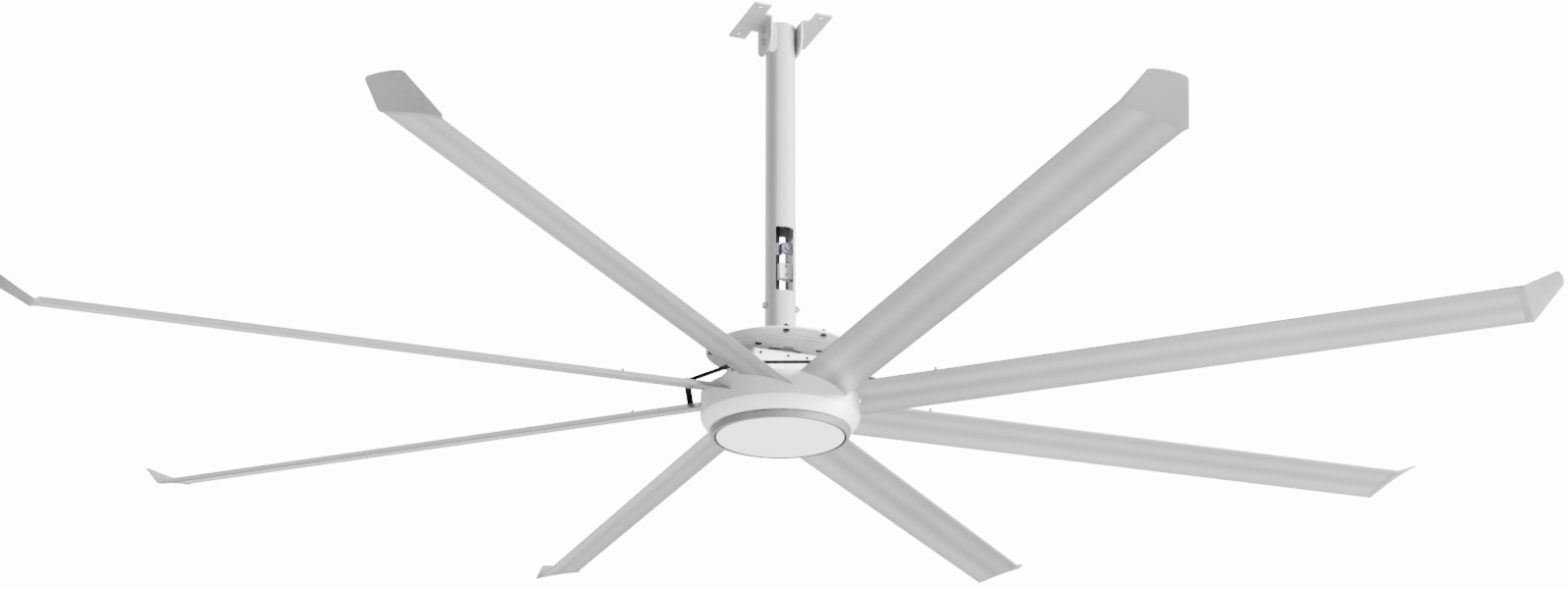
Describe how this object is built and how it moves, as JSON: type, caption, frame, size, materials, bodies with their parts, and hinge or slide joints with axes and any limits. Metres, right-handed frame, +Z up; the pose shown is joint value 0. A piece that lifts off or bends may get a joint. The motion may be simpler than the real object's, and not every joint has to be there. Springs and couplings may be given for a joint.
{
  "type": "industrial ceiling fan",
  "caption": "Large slow ceiling fan with airfoil blades and turned-up tips, a gearless hub motor, a light under the hub and a round mast.",
  "frame": {"origin": "centre of the four ceiling bolt holes, on the top faces of the two bracket plates", "axes": "+Z up along the mast and the rotor's axis, +X from one bracket plate to the other, +Y along the plates"},
  "size_m": [4.2694, 4.2694, 1.3],
  "materials": {
    "bracket_steel": "satin grey paint on bent steel plate",
    "zinc_steel": "bright zinc plating",
    "mast_paint": "satin light grey powder coat",
    "plate_alloy": "satin, as cast and blasted",
    "black_steel": "black oxide",
    "shaft_steel": "turned steel",
    "white_paint": "white powder coat",
    "circuit_board": "green solder resist",
    "core_steel": "stacked sheets, lacquered",
    "copper": "enamelled copper wire",
    "cast_alloy": "as cast",
    "bearing_steel": "ground",
    "pan_paint": "satin grey paint",
    "led_board": "white solder resist",
    "opal_plastic": "opal, satin",
    "black_rubber": "matt black",
    "black_plastic": "moulded",
    "magnet": "nickel plated",
    "spar_steel": "grey paint on steel bar",
    "ring_paint": "black powder coat",
    "blade_alloy": "clear anodised extrusion",
    "tip_plastic": "moulded, light grey"
  },
  "bodies": {
    "stator_and_mast": {"bracket_left": "bracket_steel", "bracket_right": "bracket_steel", "bracket_bolts": "zinc_steel", "mast_tube": "mast_paint", "mast_foot": "plate_alloy", "cross_bolt": "zinc_steel", "foot_bolts": "black_steel", "top_plate": "plate_alloy", "rim_bolts": "black_steel", "shaft": "shaft_steel", "shaft_bolts": "black_steel", "drive_box": "white_paint", "drive_lid": "white_paint", "drive_board": "circuit_board", "drive_screws": "zinc_steel", "box_collar": "shaft_steel", "stator_core": "core_steel", "windings": "copper", "stator_carrier": "cast_alloy", "bearing_inner_races": "bearing_steel", "bearing_balls": "bearing_steel", "light_pan": "pan_paint", "led_board": "led_board", "diffuser": "opal_plastic", "diffuser_seal": "black_rubber", "light_nut": "zinc_steel", "power_cable": "black_rubber", "cable_connectors": "black_plastic", "cable_tabs": "bracket_steel", "cable_clip": "zinc_steel", "terminal_block": "cast_alloy"},
    "rotor": {"hub_shell": "white_paint", "hub_lower_cover": "white_paint", "rotor_frame": "cast_alloy", "end_bell": "cast_alloy", "back_iron": "core_steel", "magnets": "magnet", "bearing_outer_races": "bearing_steel", "blade_spars": "spar_steel", "spar_bolts": "zinc_steel", "hub_screws": "zinc_steel", "safety_ring": "ring_paint", "blade_bolts": "zinc_steel", "blade_1": "blade_alloy", "blade_2": "blade_alloy", "blade_3": "blade_alloy", "blade_4": "blade_alloy", "blade_5": "blade_alloy", "blade_6": "blade_alloy", "blade_7": "blade_alloy", "blade_8": "blade_alloy", "winglet_1": "tip_plastic", "winglet_2": "tip_plastic", "winglet_3": "tip_plastic", "winglet_4": "tip_plastic", "winglet_5": "tip_plastic", "winglet_6": "tip_plastic", "winglet_7": "tip_plastic", "winglet_8": "tip_plastic"}
  },
  "joints": [
    {"name": "rotor_spin", "type": "hinge", "parent": "stator_and_mast", "child": "rotor", "pos_m": [0, 0, -1.212], "axis": [0, 0, 1], "continuous": true}
  ]
}
